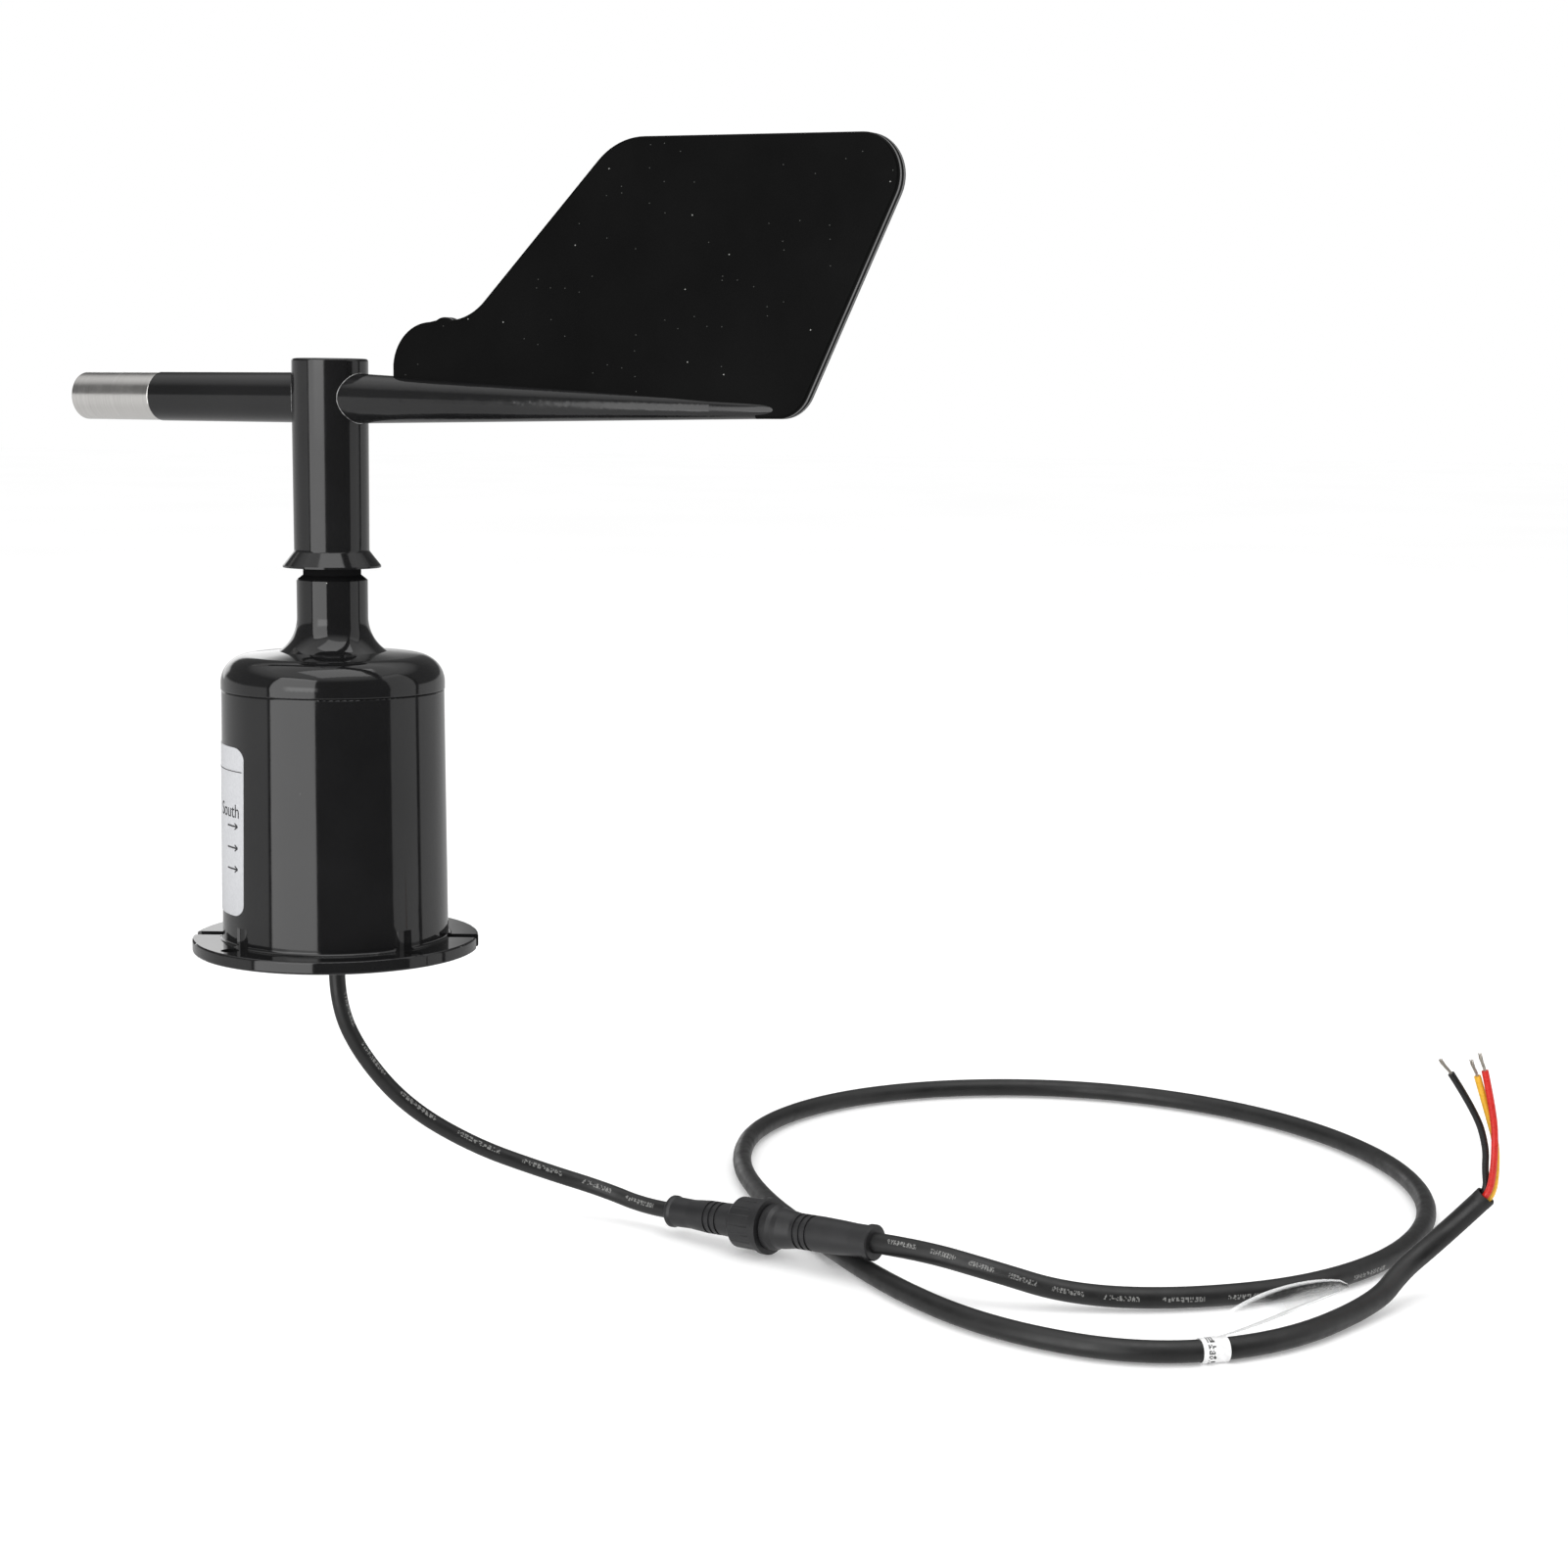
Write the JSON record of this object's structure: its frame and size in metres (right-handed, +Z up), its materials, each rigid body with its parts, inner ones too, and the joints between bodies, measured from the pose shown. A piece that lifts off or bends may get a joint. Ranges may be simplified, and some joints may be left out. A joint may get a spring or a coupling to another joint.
{
  "type": "wind direction sensor",
  "caption": "Wind vane on a round flanged sensor housing, with a steel nose weight and a flat tail fin, and a lead with an inline connector that ends in bare wires.",
  "frame": {"origin": "centre of the flange, on the face that is bolted down", "axes": "+Z up the mast, through the rotor shaft; -X is the side that carries the direction label; the cable leaves downwards"},
  "size_m": [0.365, 0.249, 0.2749],
  "materials": {
    "housing_plastic": "gloss black ABS",
    "vane_plastic": "satin to gloss black ABS",
    "fin_plastic": "satin black ABS plate",
    "weight_steel": "turned stainless steel",
    "bearing_steel": "ground bearing steel",
    "shaft_steel": "ground stainless steel",
    "screw_steel": "stainless screws",
    "cage_plastic": "nylon ball cage",
    "brass": "turned brass",
    "aluminium": "turned aluminium",
    "magnet": "nickel plated magnet",
    "seal_rubber": "black rubber",
    "circuit_board": "green solder mask",
    "chip_plastic": "moulded epoxy",
    "header_plastic": "nylon header",
    "cover_plastic": "matte black ABS",
    "label_paper": "silver-white vinyl label",
    "cable_jacket": "satin black PVC jacket",
    "connector_plastic": "matte black overmoulding",
    "pin_gold": "gold plated pins",
    "band_vinyl": "white vinyl marker",
    "flag_film": "clear film",
    "wire_red": "red PVC insulation",
    "wire_yellow": "yellow PVC insulation",
    "wire_black": "black PVC insulation",
    "tinned_copper": "tinned copper strands"
  },
  "bodies": {
    "root": {"base_housing": "housing_plastic", "top_cap": "housing_plastic", "cap_seal": "seal_rubber", "bottom_cover": "cover_plastic", "cover_gasket": "seal_rubber", "cover_screws": "screw_steel", "cable_gland": "cover_plastic", "gland_bush": "seal_rubber", "gland_nut": "cover_plastic", "direction_label": "label_paper", "main_board": "circuit_board", "board_screws": "screw_steel", "hall_sensors": "chip_plastic", "controller_chip": "chip_plastic", "smoothing_capacitor": "aluminium", "wire_header": "header_plastic", "lead_inner_end": "cable_jacket", "inner_wires": "wire_red", "lower_bearing_outer": "bearing_steel", "upper_bearing_outer": "bearing_steel", "bearing_spacer": "aluminium", "bearing_circlip": "screw_steel", "plug_body": "connector_plastic", "plug_pins": "pin_gold", "socket_body": "connector_plastic", "plug_seal": "seal_rubber", "lead_cable": "cable_jacket", "extension_cable": "cable_jacket", "marker_band": "band_vinyl", "marker_flag": "flag_film", "wire_red": "wire_red", "wire_yellow": "wire_yellow", "wire_black": "wire_black", "bare_wire_tips": "tinned_copper"},
    "vane": {"rotor_shaft": "shaft_steel", "lower_bearing_inner": "bearing_steel", "upper_bearing_inner": "bearing_steel", "shaft_clip": "screw_steel", "magnet_holder": "cover_plastic", "ring_magnet": "magnet", "vane_hub": "vane_plastic", "hub_bush": "brass", "hub_grub_screw": "screw_steel", "front_arm": "vane_plastic", "tail_boom": "vane_plastic", "tail_fin": "fin_plastic", "counterweight": "weight_steel"},
    "bearing_balls": {"lower_bearing_balls": "bearing_steel", "lower_bearing_cage": "cage_plastic", "upper_bearing_balls": "bearing_steel", "upper_bearing_cage": "cage_plastic"},
    "coupling_nut": {"coupling_nut": "connector_plastic"}
  },
  "joints": [
    {"name": "vane_spin", "type": "hinge", "parent": "root", "child": "vane", "pos_m": [0, 0, 0.1], "axis": [0, 0, 1], "continuous": true},
    {"name": "ball_orbit", "type": "hinge", "parent": "root", "child": "bearing_balls", "pos_m": [0, 0, 0.1], "axis": [0, 0, 1], "continuous": true},
    {"name": "nut_turn", "type": "hinge", "parent": "root", "child": "coupling_nut", "pos_m": [0.0857, 0.0062, -0.0705], "axis": [0.7862, -0.6142, 0.068], "range_deg": [0, 540]}
  ],
  "couplings": [
    {"joint": "ball_orbit", "follows": "vane_spin", "ratio": 0.41}
  ]
}
